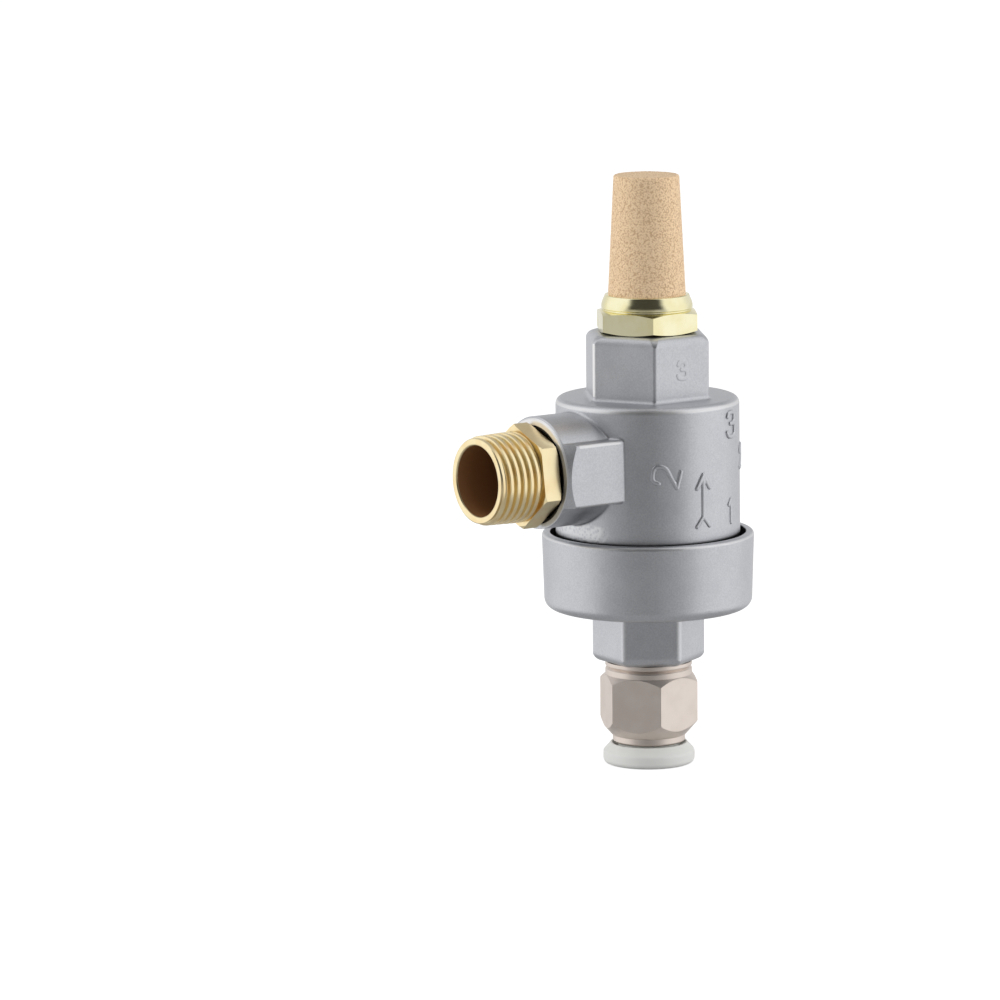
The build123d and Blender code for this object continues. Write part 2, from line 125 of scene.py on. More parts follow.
# A Principled material with the patterns that read its object coordinates
class Finish(Tree):
    def __init__(self, name):
        self.material = bpy.data.materials.new(name)
        super().__init__(self.material)
        self.place = self.add("ShaderNodeTexCoord", out="Object")

    def grain(self, size, detail=2, rough=0.5, place=None):
        values = {"Vector": place or self.place, "Scale": 1 / size, "Detail": detail, "Roughness": rough}
        return self.add("ShaderNodeTexNoise", {}, values)

    def cells(self, size):
        return self.add("ShaderNodeTexVoronoi", {}, {"Vector": self.place, "Scale": 1 / size}, "Distance")

    def stretched(self, x, y, z):
        return self.add("ShaderNodeMapping", {}, {"Vector": self.place, "Scale": (x, y, z)})

    def axis(self, name):
        return self.add("ShaderNodeSeparateXYZ", {}, {"Vector": self.place}, name)

    def length(self, x, y, z):
        vector = self.add("ShaderNodeCombineXYZ", {}, {"X": x, "Y": y, "Z": z})
        return self.add("ShaderNodeVectorMath", {"operation": "LENGTH"}, {0: vector}, "Value")

    # distance from the valve's axis
    def fromAxis(self):
        return self.length(self.axis("X"), self.axis("Y"), 0)

    # distance from the outlet port's axis
    def fromPortAxis(self):
        return self.length(0, self.axis("Y"), self.axis("Z") - mounts["outlet_thread"]["pos_m"][2])

    def bump(self, height, depth, strength):
        return self.add("ShaderNodeBump", {}, {"Height": height, "Distance": depth, "Strength": strength})

    def done(self, sockets):
        surface = self.add("ShaderNodeBsdfPrincipled", {}, sockets)
        self.add("ShaderNodeOutputMaterial", {}, {"Surface": surface})
        return self.material


# Finishes. In the looks a pair of lengths is where a mask starts and where it is full or, with a soft width
# named below it, the two ends of a band.

castLook = {
    "light": colour(0.645, 0.655, 0.685),
    "dark": colour(0.55, 0.56, 0.59),
    "shadow": colour(0.03, 0.03, 0.032),
    # painted glints on the rough patch's crust
    "crustGlint": colour(0.80, 0.81, 0.82),        # the rough patch
    # near white, painted on edges and on the port's turned face as highlights
    "highlight": colour(0.95, 0.94, 0.94),          # where the coat is thin
    "metallic": 0.92,
    "roughness": 0.33,
    "mottledRoughness": 0.12,
    "speckle": 0.35 * mm,
    "speckleShare": 0.7,                       # beside the mottle, between light and dark
    "mottle": 6 * mm,
    "mixed": (0.35, 0.65),
    "skin": 1.6 * mm,
    "skinShare": 0.4,                          # beside the speckle, in the relief
    "crust": 0.9 * mm,
    "crusted": (0.3, 0.9),
    "crustShown": 0.8,
    "crustRelief": 1.6,                        # height of the patch's crust beside the skin's
    "relief": 0.05 * mm,
    "strength": 0.6,
}


# The casting's finish. Painted shade makes black what no light reaches, painted highlights make some edges
# near white, and where a patch is given, the surface is rough, with its crust painted bright as glints.
def castAluminium(name, paintedShade, paintedHighlights, patch=None):
    look = castLook
    finish = Finish(name)
    speckle = finish.grain(look["speckle"], 3, 0.6)
    mottle = finish.grain(look["mottle"])
    mixed = speckle * look["speckleShare"] + mottle * (1 - look["speckleShare"])
    paint = finish.blend(finish.step(mixed, *look["mixed"]), look["dark"], look["light"])
    skin = speckle * (1 - look["skinShare"]) + finish.grain(look["skin"], 1) * look["skinShare"]
    if patch:
        rough = patch(finish)
        crust = finish.cells(look["crust"]) + speckle * 0.5
        crustGlint = rough * finish.step(crust, *look["crusted"]) * look["crustShown"]
        paint = finish.blend(crustGlint, paint, look["crustGlint"])
        skin = skin + rough * crust * look["crustRelief"]
    paint = finish.blend(paintedHighlights(finish), paint, look["highlight"])
    paint = finish.blend(paintedShade(finish), paint, look["shadow"])
    return finish.done({"Base Color": paint, "Metallic": look["metallic"],
                        "Roughness": look["roughness"] + mottle * look["mottledRoughness"],
                        "Normal": finish.bump(skin, look["relief"], look["strength"])})


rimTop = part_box("end_cover")[1].z
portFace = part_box("valve_body")[0].x
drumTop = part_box("valve_body")[1].z - 15.1 * mm
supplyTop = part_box("end_cover")[0].z + 12.8 * mm
# Places on the body for its painted shade and its painted highlights
bodyLook = {
    "rimShade": (rimTop - 0.3 * mm, rimTop + 0.4 * mm),
    # the mouth's black is painted shade
    "mouthRadius": (11.3 * mm, 11.5 * mm),     # the outlet port's black mouth
    "mouthFloor": (-18 * mm, -17 * mm),
    "shoulder": (drumTop - 1.6 * mm, drumTop - 0.4 * mm),
    "shoulderSoft": 0.4 * mm,
    "shoulderRadius": (19.4 * mm, 19.6 * mm),
    "shoulderHighlight": 0.55,
    "cornerRadius": (15.25 * mm, 15.33 * mm),  # the exhaust hexagon's corner above the outlet
    "cornerFoot": (drumTop + 1 * mm, drumTop + 1.2 * mm),
    "cornerSide": (-14.2 * mm, -14 * mm),
    "cornerHighlight": 0.85,
    "flatMiddle": 71.75 * mm,                  # the outlet port's two spanner flats
    "flatSide": (12.72 * mm, 12.8 * mm),
    "flatEdge": (6.6 * mm, 6.7 * mm),          # from the middle
    "flatLength": (portFace + 2.8 * mm, -17.3 * mm),
    "flatSoft": 0.6 * mm,
    "flatHighlight": 0.6,
    "face": (portFace + 0.3 * mm, portFace + 0.35 * mm),
    "faceRise": (-3 * mm, 6 * mm),             # from the middle of the flats
    "faceHighlight": 0.8,
}


# Painted shade on the body, black where no light reaches: its thread under the cover's rim, and the mouth of
# the outlet port
def bodyPaintedShade(finish):
    look = bodyLook
    underRim = 1 - finish.step(finish.axis("Z"), *look["rimShade"])
    mouth = 1 - finish.step(finish.fromPortAxis(), *look["mouthRadius"])
    return underRim + mouth * (1 - finish.step(finish.axis("X"), *look["mouthFloor"]))


# Painted highlights on the body: on the drum's shoulder, the exhaust hexagon's corner above the outlet, the
# edges of the outlet port's flats, and its turned face, bare turned metal with the highlight painted stronger
# at the top
def bodyPaintedHighlights(finish):
    look = bodyLook
    height, along, around = finish.axis("Z"), finish.axis("X"), finish.fromAxis()
    fromMiddle = height - look["flatMiddle"]
    shoulder = finish.band(height, *look["shoulder"], look["shoulderSoft"])
    shoulder = shoulder * finish.step(around, *look["shoulderRadius"])
    corner = finish.step(around, *look["cornerRadius"]) * finish.step(height, *look["cornerFoot"])
    corner = corner * (1 - finish.step(along, *look["cornerSide"]))
    flats = finish.step(abs(finish.axis("Y")), *look["flatSide"])
    flats = flats * finish.step(abs(fromMiddle), *look["flatEdge"])
    flats = flats * finish.band(along, *look["flatLength"], look["flatSoft"])
    face = (1 - finish.step(along, *look["face"])) * finish.step(fromMiddle, *look["faceRise"])
    paintedHighlights = shoulder * look["shoulderHighlight"] + corner * look["cornerHighlight"]
    return paintedHighlights + flats * look["flatHighlight"] + face * look["faceHighlight"]


# The rough patch, whose crust is painted bright as glints
patchLook = {
    "wander": 2.4 * mm,                        # how far the patch's edge strays
    "wanderSize": 1.5 * mm,
    "top": (58.3 * mm, 59.5 * mm),
    "side": (-20.2 * mm, -18.8 * mm),
    "radius": (21.7 * mm, 21.8 * mm),
}


# The rough patch on the drum below the outlet port, with its crust painted bright as glints
def roughGlintPatch(finish):
    look = patchLook
    wander = (finish.grain(look["wanderSize"]) - 0.5) * look["wander"]
    low = 1 - finish.step(finish.axis("Z") + wander, *look["top"])
    side = 1 - finish.step(finish.axis("X") + wander, *look["side"])
    return low * side * (1 - finish.step(finish.fromAxis(), *look["radius"]))


# Places on the cover for its painted shade and its painted highlights
coverLook = {
    "mouthRadius": (22.8 * mm, 22.9 * mm),
    "mouthFoot": (50 * mm, 51 * mm),
    "rim": (rimTop - 0.9 * mm, rimTop - 0.1 * mm),
    "rimSoft": 0.3 * mm,
    "rimHighlight": 0.4,
    "cornerRadius": (12.86 * mm, 12.94 * mm),
    "cornerTop": (supplyTop - 1 * mm, supplyTop - 0.8 * mm),
    "cornerHighlight": 0.2,
}


# Painted shade on the cover, black where no light reaches: the wall of its mouth
def coverPaintedShade(finish):
    inside = 1 - finish.step(finish.fromAxis(), *coverLook["mouthRadius"])
    return inside * finish.step(finish.axis("Z"), *coverLook["mouthFoot"])


# Painted highlights on the cover: on its rim, and on the supply hexagon's corners
def coverPaintedHighlights(finish):
    look = coverLook
    height = finish.axis("Z")
    rim = finish.band(height, *look["rim"], look["rimSoft"])
    corners = finish.step(finish.fromAxis(), *look["cornerRadius"])
    corners = corners * (1 - finish.step(height, *look["cornerTop"]))
    return rim * look["rimHighlight"] + corners * look["cornerHighlight"]


brassLook = {
    "light": colour(1.0, 0.86, 0.54),
    "dark": colour(0.97, 0.78, 0.45),
    "tone": 4 * mm,
    "turning": 0.12 * mm,
    "stretch": (1, 0.02, 0.02),
    "roughness": 0.26,
    "turnedRoughness": 0.08,
    "relief": 0.005 * mm,
    "strength": 0.4,
    # painted shade in the bore
    "boreShade": colour(0.24, 0.105, 0.034),
    "boreShadeRoughness": 0.3,
    "boreRadius": (8.23 * mm, 8.35 * mm),
    "boreMouth": (-48.2 * mm, -47.9 * mm),
}
platedLook = {
    "light": colour(0.955, 0.905, 0.62),
    "dark": colour(0.90, 0.83, 0.50),
    "tone": 5 * mm,
    "turning": 0.15 * mm,
    "stretch": (0.02, 0.02, 1),
    "roughness": 0.13,
    "turnedRoughness": 0.06,
    "relief": 0.004 * mm,
    "strength": 0.4,
}
nickelLook = {
    "light": colour(0.80, 0.715, 0.655),
    "dark": colour(0.755, 0.67, 0.605),
    "tone": 5 * mm,
    "turning": 0.2 * mm,
    "stretch": (0.05, 0.05, 1),
    "roughness": 0.36,
    "turnedRoughness": 0.05,
    "relief": 0.004 * mm,
    "strength": 0.15,
}


# Turned metal: fine lines where the tool ran and a slow change of tone, and where a mask is given, painted
# shade in dark brown that is not metallic
def turnedMetal(name, look, boreShaded=None):
    finish = Finish(name)
    turning = finish.grain(look["turning"], 1, 0.5, finish.stretched(*look["stretch"]))
    tone = finish.step(finish.grain(look["tone"]), 0.35, 0.7)
    paint = finish.blend(tone, look["light"], look["dark"])
    roughness = look["roughness"] + turning * look["turnedRoughness"]
    metallic = 1
    if boreShaded:
        shaded = boreShaded(finish)
        paint = finish.blend(shaded, paint, look["boreShade"])
        roughness = roughness + shaded * look["boreShadeRoughness"]
        metallic = 1 - shaded
    return finish.done({"Base Color": paint, "Metallic": metallic, "Roughness": roughness,
                        "Normal": finish.bump(turning, look["relief"], look["strength"])})


# The nipple's bore, painted dark brown as shade
def nippleBore(finish):
    inside = 1 - finish.step(finish.fromPortAxis(), *brassLook["boreRadius"])
    return inside * finish.step(finish.axis("X"), *brassLook["boreMouth"])


bronzeLook = {
    "light": colour(0.95, 0.71, 0.455),
    "dark": colour(0.60, 0.39, 0.22),
    "metallic": 0.12,
    "roughness": 0.55,
    "pitRoughness": 0.2,
    "grain": 0.38 * mm,
    "fine": 0.25 * mm,
    "fineShare": 0.4,
    "pitted": (0.6, 1.0),
    # how much shade is painted in the pits
    "pitShade": 0.8,
    "tone": 1.2 * mm,
    "toned": (0.45, 0.8),
    "toneShown": 0.3,
    "relief": 0.1 * mm,
    "strength": 0.7,
}


# Light grains with painted shade in the pits between them
def sinteredBronze():
    look = bronzeLook
    finish = Finish("sinteredBronze")
    cells = finish.cells(look["grain"])
    pits = finish.step(cells + finish.grain(look["fine"]) * look["fineShare"], *look["pitted"])
    tone = finish.step(finish.grain(look["tone"]), *look["toned"])
    paint = finish.blend(pits * look["pitShade"], look["light"], look["dark"])
    paint = finish.blend(tone * look["toneShown"], paint, look["dark"])
    return finish.done({"Base Color": paint, "Metallic": look["metallic"],
                        "Roughness": look["roughness"] + pits * look["pitRoughness"],
                        "Normal": finish.bump(1 - cells, look["relief"], look["strength"])})


sleeveLook = {
    "light": colour(0.80, 0.805, 0.78),
    "dark": colour(0.76, 0.765, 0.74),
    "flow": 3 * mm,
    "skin": 0.3 * mm,
    "roughness": 0.36,
    "skinRoughness": 0.1,
    "relief": 0.01 * mm,
    "strength": 0.5,
}


def sleevePlastic():
    look = sleeveLook
    finish = Finish("sleevePlastic")
    skin = finish.grain(look["skin"])
    return finish.done({"Base Color": finish.blend(finish.grain(look["flow"]), look["light"], look["dark"]),
                        "Roughness": look["roughness"] + skin * look["skinRoughness"],
                        "Normal": finish.bump(skin, look["relief"], look["strength"])})


plainLooks = {
    "nitrileRubber": {"light": colour(0.03, 0.03, 0.032), "dark": colour(0.02, 0.02, 0.02),
                      "metallic": 0, "roughness": 0.5, "grain": 0.4 * mm},
    "sealingTape": {"light": colour(0.8, 0.8, 0.78), "dark": colour(0.7, 0.7, 0.68),
                    "metallic": 0, "roughness": 0.45, "grain": 0.5 * mm},
    "springSteel": {"light": colour(0.6, 0.6, 0.6), "dark": colour(0.5, 0.5, 0.5),
                    "metallic": 1, "roughness": 0.25, "grain": 0.3 * mm},
    "turnedAluminium": {"light": colour(0.8, 0.8, 0.81), "dark": colour(0.7, 0.7, 0.71),
                        "metallic": 1, "roughness": 0.3, "grain": 0.3 * mm},
}
plainGrain = {"roughness": 0.1, "relief": 0.01 * mm, "strength": 0.5}


# The finish of a piece that is mostly inside: one noise for its colour, gloss and relief
def plainFinish(name):
    look = plainLooks[name]
    finish = Finish(name)
    tone = finish.grain(look["grain"])
    return finish.done({"Base Color": finish.blend(tone, look["light"], look["dark"]),
                        "Metallic": look["metallic"],
                        "Roughness": look["roughness"] + tone * plainGrain["roughness"],
                        "Normal": finish.bump(tone, plainGrain["relief"], plainGrain["strength"])})


finishes = {
    "cast_aluminium": castAluminium("castBody", bodyPaintedShade, bodyPaintedHighlights, roughGlintPatch),
    "cast_cover": castAluminium("castCover", coverPaintedShade, coverPaintedHighlights),
    "bright_brass": turnedMetal("brightBrass", brassLook, nippleBore),
    "plated_brass": turnedMetal("platedBrass", platedLook),
    "sintered_bronze": sinteredBronze(),
    "nickel_plate": turnedMetal("nickelPlate", nickelLook),
    "sleeve_plastic": sleevePlastic(),
    "nitrile_rubber": plainFinish("nitrileRubber"),
    "sealing_tape": plainFinish("sealingTape"),
    "spring_steel": plainFinish("springSteel"),
    "turned_aluminium": plainFinish("turnedAluminium"),
}
nodeFinish = {part["node"]: part["material_slot"] for part in frame["record"]["subparts"]}
nodeFinish["end_cover"] = "cast_cover"
for name, slot in nodeFinish.items():
    nodes[name].data.materials.clear()
    nodes[name].data.materials.append(finishes[slot])
print("finishes made and given to", len(nodeFinish), "nodes")


# A piece of the scene, fixed to the housing
def madePiece(name, bm, slot):
    mesh = bpy.data.meshes.new(name)
    bm.to_mesh(mesh)
    bm.free()
    piece = bpy.data.objects.new(name, mesh)
    bpy.context.scene.collection.objects.link(piece)
    mesh.materials.append(finishes[slot])
    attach(piece, "housing")
    return piece


# Smooth faces that point outwards. Where both ends of an edge are in the sharp part, the edge stays sharp
# if the faces beside it turn by more than the limit.
def smoothed(bm, limit=None, sharpPart=None):
    bmesh.ops.recalc_face_normals(bm, faces=bm.faces)
    if bm.calc_volume(signed=True) < 0:
        bmesh.ops.reverse_faces(bm, faces=bm.faces)
    for face in bm.faces:
        face.smooth = True
    if limit:
        for edge in bm.edges:
            turned = edge.calc_face_angle(0) > math.radians(limit)
            edge.smooth = not (turned and all(sharpPart(vert) for vert in edge.verts))


# Half section as points (along, radius) spun round an axis
def lathe(bm, points, steps, place, closed=False):
    verts = [bm.verts.new(place(along, radius)) for along, radius in points]
    edges = [bm.edges.new(pair) for pair in zip(verts, verts[1:])]
    if closed:
        edges.append(bm.edges.new((verts[-1], verts[0])))
    centre = place(0, 0)
    axis = (place(1, 0) - centre).normalized()
    bmesh.ops.spin(bm, geom=verts + edges, cent=centre, axis=axis, angle=math.tau, steps=steps,
                   use_merge=True)


# The side nipple. Lengths run from the hexagon's outer face towards the tip.
nipple = {
    "crest": mounts["outlet_thread"]["dims"]["r_mm"] * mm,
    "pitch": 1.814 * mm,
    "depth": 1.162 * mm,
    "length": 11.35 * mm,          # from the hexagon's face to the tip
    "waveMiddle": 0.82,            # the thread is a wave of this middle and swing, in depths,
    "waveSwing": 0.84,             # cut off flat at its crests and roots
    "runIn": 3,                    # rise of the thread for each length from the hexagon
    "runOut": 0.9,                 # fall of the thread for each length towards the tip's band
    "band": 0.72,                  # height of the tip's plain band above the root, in depths
    "bandLength": 1.1 * mm,
    "taper": 1 / 32,               # loss of radius for each length from the gauge plane to the tip
    "gauge": 8.2 * mm,             # the gauge plane, from the tip
    "bore": 8.2 * mm,
    "boreRings": (0.6, 0.2),       # edges round the bore, in lengths
    "edge": 0.35 * mm,             # rounding of the two edges of the tip
    "flat": 10.5 * mm,             # half the width across flats
    "turn": 8.5,                   # a corner's angle from upright, in degrees
    "hexagon": 4.4 * mm,
    "face": 11.4 * mm,             # radius of the turned face at each side of the hexagon
    "chamfer": 0.35 * mm,
    "gap": 0.5 * mm,               # from the hexagon to the port
    "neck": 9.3 * mm,
    "stub": 9.9 * mm,
    "relief": 1.75 * mm,
    "stubChamfer": 0.8 * mm,
    "sharp": 20,                   # degrees past which an edge of the hexagon stays sharp
    "rows": 150,
    "steps": 192,
}
nipple["root"] = nipple["crest"] - nipple["depth"]
nipple["corner"] = nipple["flat"] / math.cos(math.radians(30))


def threadRadius(along, turn):
    look = nipple
    depth = look["depth"]
    fromTip = look["length"] - along
    wave = math.cos(math.tau * (along / look["pitch"] - turn / math.tau))
    height = min(max(look["waveMiddle"] + look["waveSwing"] * wave, 0), 1) * depth
    runIn = along * look["runIn"]
    runOut = max(fromTip - look["bandLength"], 0) * look["runOut"] + look["band"] * depth
    return look["root"] + min(height, runIn, runOut) + min(fromTip - look["gauge"], 0) * look["taper"]


# The half section, from the end of the stub over the hexagon and the thread to the tip and back in the bore
def nippleSection(end):
    look = nipple
    corner, neck, root, stub = look["corner"], look["neck"], look["root"], look["stub"]
    hexFoot = -look["hexagon"]
    port = hexFoot - look["gap"]
    chamfer = look["stubChamfer"]
    stubTop = port - look["relief"] - chamfer
    length, rise, bore = look["length"], look["edge"], look["bore"]
    run = length - rise
    tip = threadRadius(length, 0)
    inPort = [(end, bore), (end, stub - chamfer), (end + chamfer, stub), (stubTop, stub),
              (stubTop + chamfer, neck)]
    hexagon = [(hexFoot, neck), (hexFoot, look["face"]), (hexFoot + look["chamfer"], corner),
               (-look["chamfer"], corner), (0, look["face"])]
    thread = [(run * row / look["rows"], root) for row in range(look["rows"] + 1)]
    # the middle and end of the tip's outer rounding, then the start, middle and end of its inner one
    mouth = [(length - 0.12 * rise, tip - 0.5 * rise), (length, tip - rise), (length, bore + rise),
             (length - 0.3 * rise, bore + 0.3 * rise), (run, bore)]
    inner = [(length * part, bore) for part in look["boreRings"]] + [(hexFoot, bore), (port, bore)]
    return inPort + hexagon + thread + mouth + inner


# Draws the turned disc in to the hexagon's flats, with the chamfer's edge where it meets each flat
def cutFlats(along, radius, turn):
    fromFlat = (math.degrees(turn) - nipple["turn"]) % 60 - 30
    flat = nipple["flat"] / math.cos(math.radians(fromFlat))
    face = nipple["face"]
    if radius <= face + hair:
        return along, min(face, flat)
    drop = nipple["chamfer"] * max(flat - face, 0) / (nipple["corner"] - face)
    return (-drop if along > -nipple["hexagon"] / 2 else drop - nipple["hexagon"]), flat


def threadedNipple():
    low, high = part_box("side_nipple")
    axisZ = mounts["outlet_thread"]["pos_m"][2]
    faceX = low.x + nipple["length"]
    start = math.radians(nipple["turn"])

    def place(along, radius, turn=start):
        return Vector((faceX - along, radius * math.sin(turn), axisZ + radius * math.cos(turn)))

    bm = bmesh.new()
    lathe(bm, nippleSection(faceX - high.x), nipple["steps"], place, closed=True)
    lastRow = nipple["length"] - nipple["edge"] + hair
    for vert in bm.verts:
        along = faceX - vert.co.x
        radius = math.hypot(vert.co.y, vert.co.z - axisZ)
        turn = math.atan2(vert.co.y, vert.co.z - axisZ)
        if along < hair and radius > nipple["stub"] + hair:
            vert.co = place(*cutFlats(along, radius, turn), turn)
        elif hair < along < lastRow and radius > nipple["root"] - hair:
            vert.co = place(along, threadRadius(along, turn), turn)
    bmesh.ops.remove_doubles(bm, verts=bm.verts, dist=weld)
    smoothed(bm, nipple["sharp"], lambda vert: vert.co.x > faceX - hair)
    piece = madePiece("threadedNipple", bm, "bright_brass")
    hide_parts("side_nipple")


threadedNipple()
print("nipple threaded")


# The sintered thimble, with its grains in the mesh
element = {
    "grain": 0.55 * mm,
    "depth": 0.07 * mm,
    "middle": 0.45,                # distance from a grain's centre, in grains, where its height is none
    "topRadius": 7.6 * mm,
    "round": 0.5 * mm,
    "wall": 2.4 * mm,
    "skin": 1 * mm,                # vertices further inside the top's radius are the hollow's
    "sunk": 0.3 * mm,              # how far below the base's rim the fine rows start
    "steps": 280,
    "rows": 150,
    "roundRows": 4,
    "capRows": 34,
}


def grainHeight(point):
    nearest = noise.voronoi(point / element["grain"])[0][0]
    return (element["middle"] - nearest) * element["depth"]


def sinteredElement():
    look = element
    low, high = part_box("silencer_element")
    foot, top = high.x, high.z
    topRadius, rounding, wall = look["topRadius"], look["round"], look["wall"]
    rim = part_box("silencer_base")[1].z
    start = rim - look["sunk"]
    taper = (foot - topRadius) / (top - rim)
    bm = bmesh.new()

    def place(along, radius):
        return Vector((radius, 0, along))

    cone = [start + (top - rounding - start) * row / look["rows"] for row in range(look["rows"] + 1)]
    side = [(z, foot - taper * max(z - rim, 0)) for z in cone]
    centre = side[-1][1] - rounding
    angles = [math.pi / 2 * row / look["roundRows"] for row in range(1, look["roundRows"] + 1)]
    corner = [(top - rounding + rounding * math.sin(a), centre + rounding * math.cos(a)) for a in angles]
    capRadius = corner[-1][1]
    cap = [(top, capRadius * (1 - row / look["capRows"])) for row in range(1, look["capRows"] + 1)]
    hollow = [(top - wall, 0), (top - wall, topRadius - wall), (low.z, foot - wall)]
    lathe(bm, [(low.z, foot)] + side + corner + cap + hollow, look["steps"], place)
    bmesh.ops.remove_doubles(bm, verts=bm.verts, dist=weld)
    bmesh.ops.bridge_loops(bm, edges=[edge for edge in bm.edges if edge.is_boundary])
    bmesh.ops.recalc_face_normals(bm, faces=bm.faces)
    bm.normal_update()
    moves = [(vert, vert.normal * grainHeight(vert.co)) for vert in bm.verts if vert.co.z > rim
             and (vert.co.z > top - wall / 2 or Vector(vert.co.xy).length > topRadius - look["skin"])]
    for vert, move in moves:
        vert.co += move
    smoothed(bm)
    piece = madePiece("sinteredElement", bm, "sintered_bronze")
    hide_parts("silencer_element")


sinteredElement()
print("element made")


# Raised marks of the casting: plain port numbers and the flow arrow, as soft strokes
marks = {
    "stroke": 0.58 * mm,           # radius of a stroke
    "segments": 10,
    "cuts": 3,                     # times that a stroke's corners are cut
    "voxel": 0.11 * mm,
    "height": 0.4 * mm,
    "lowHeight": 0.11 * mm,        # of the mark on the exhaust hexagon
    "smooth": 5,
    "drum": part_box("valve_body")[1].y - 0.9 * mm,      # its radius, from the body's wider thread
    "exhaustFlat": 13.5 * mm,      # from the valve's axis
}
digitStrokes = {                   # x to the right and y up, about one unit high once the corners are cut
    "one": [[(-0.2, 0.28), (-0.02, 0.5)], [(0.0, 0.5), (0.0, -0.5)]],
    "two": [[(-0.3, 0.22), (-0.28, 0.5), (0.3, 0.56), (0.36, 0.12), (0.1, -0.1), (-0.3, -0.5)],
            [(-0.3, -0.5), (0.32, -0.5)]],
    "three": [[(-0.3, 0.36), (-0.2, 0.54), (0.34, 0.52), (0.32, 0.06), (-0.04, 0.03)],
              [(-0.04, 0.03), (0.42, 0.03), (0.38, -0.56), (-0.2, -0.56), (-0.32, -0.34)]],
    "arrow": [[(0, -0.33), (0, 0.46)], [(-0.15, 0.24), (0, 0.5)], [(0, 0.5), (0.15, 0.24)],
              [(-0.15, -0.5), (0, -0.31)], [(0, -0.31), (0.15, -0.5)]],
}


# Cuts the corners of a stroke several times over, which leaves a round line through its ends
def rounded(points):
    for _ in range(marks["cuts"]):
        inner = []
        for start, end in zip(points, points[1:]):
            inner += [start.lerp(end, 0.25), start.lerp(end, 0.75)]
        points = [points[0]] + inner[1:-1] + [points[-1]]
    return points


def strokeTube(bm, points):
    radius = marks["stroke"]
    for start, end in zip(points, points[1:]):
        run = end - start
        turned = run.to_track_quat("Z", "Y").to_matrix().to_4x4()
        matrix = Matrix.Translation((start + end) / 2) @ turned
        bmesh.ops.create_cone(bm, cap_ends=True, segments=marks["segments"], radius1=radius, radius2=radius,
                              depth=run.length, matrix=matrix)
    for point in points:
        bmesh.ops.create_icosphere(bm, subdivisions=2, radius=radius, matrix=Matrix.Translation(point))


# One mark: its strokes are remeshed into one skin, smoothed, made as low as it stands and laid on the surface
def reliefMark(name, digit, size, onSurface, stand=marks["height"]):
    bm = bmesh.new()
    for stroke in digitStrokes[digit]:
        points = [Vector((x * size, y * size, 0)) for x, y in stroke]
        strokeTube(bm, rounded(points) if len(points) > 2 else points)
    piece = madePiece(name, bm, "cast_aluminium")
    remesh = piece.modifiers.new("remesh", "REMESH")
    remesh.mode = "VOXEL"
    remesh.voxel_size = marks["voxel"]
    evaluated = piece.evaluated_get(bpy.context.evaluated_depsgraph_get())
    bm = bmesh.new()
    bm.from_mesh(evaluated.to_mesh())
    piece.modifiers.clear()
    for _ in range(marks["smooth"]):
        bmesh.ops.smooth_vert(bm, verts=bm.verts, factor=0.5, use_axis_x=True, use_axis_y=True,
                              use_axis_z=True)
    for vert in bm.verts:
        vert.co.z *= stand / marks["stroke"]
        vert.co = onSurface(vert.co)
    smoothed(bm)
    bm.to_mesh(piece.data)
    bm.free()


# Places a flat mark on the drum: x of the mark runs round it, y up it
def onDrum(angle, height, turn=0):
    radius = marks["drum"]
    spin = Matrix.Rotation(math.radians(turn), 3, "Z")

    def place(point):
        flat = spin @ point
        around = math.radians(angle) + flat.x / radius
        reach = radius + flat.z
        return Vector((reach * math.cos(around), reach * math.sin(around), height + flat.y))
    return place


# Places a flat mark on an upright flat whose normal points at the angle
def onFlat(angle, height, distance):
    spin = Matrix.Rotation(math.radians(angle + 90), 3, "Z")
    standing = Matrix.Rotation(math.radians(90), 3, "X")
    normal = Vector((math.cos(math.radians(angle)), math.sin(math.radians(angle)), 0))

    def place(point):
        return spin @ (standing @ point) + normal * distance + Vector((0, 0, height))
    return place


exhaustFlat = onFlat(angle=-90, height=94 * mm, distance=marks["exhaustFlat"])
reliefMark("markOutlet", "two", 6.2 * mm, onDrum(angle=-115, height=70.6 * mm, turn=75))
reliefMark("markArrow", "arrow", 12 * mm, onDrum(angle=-90, height=64.6 * mm))
reliefMark("markSupply", "one", 5.4 * mm, onDrum(angle=-63, height=61.0 * mm))
reliefMark("markExhaust", "three", 5.2 * mm, onDrum(angle=-63, height=81.2 * mm))
reliefMark("markPort", "three", 3.6 * mm, exhaustFlat, marks["lowHeight"])
reliefMark("markSide", "two", 5 * mm, onDrum(angle=-40, height=72.6 * mm))
print("marks made")


# Studio: a white surround that is dark towards the camera, three soft boxes and a pale floor
studio = {
    "azimuth": -36.5,
    "elevation": 9,
    "distance": 1.4,
    "target": (0, 0, 69.05 * mm),
    "focal": 216.7,
    "sensor": 36,
    "shift": (-0.1477, -0.03),
    "roll": -0.27,
    "clip": (0.05, 20),
    "ambient": 0.6,                # brightness of the world for what scatters light
}
surround = {                       # brightness of what metal reflects, and where it starts and is full
    "azimuth": -40,
    "side": 1.0,
    "frontHigh": 0.055,
    "frontHighFrom": (0.56, 0.80),     # cosine of the angle from the front
    "frontLow": 0.50,
    "frontLowFrom": (0.48, 0.68),
    "middleLow": 0.32,
    "middleFrom": (0.86, 1.0),
    "backLow": 0.78,
    "backHigh": 0.44,
    "backFrom": (-0.35, -0.8),
    "below": 0.38,
    "belowFrom": (-0.35, -0.6),        # sine of the elevation
    "horizon": (-0.08, 0.08),
    "steepFrom": (0.25, 0.6),
}
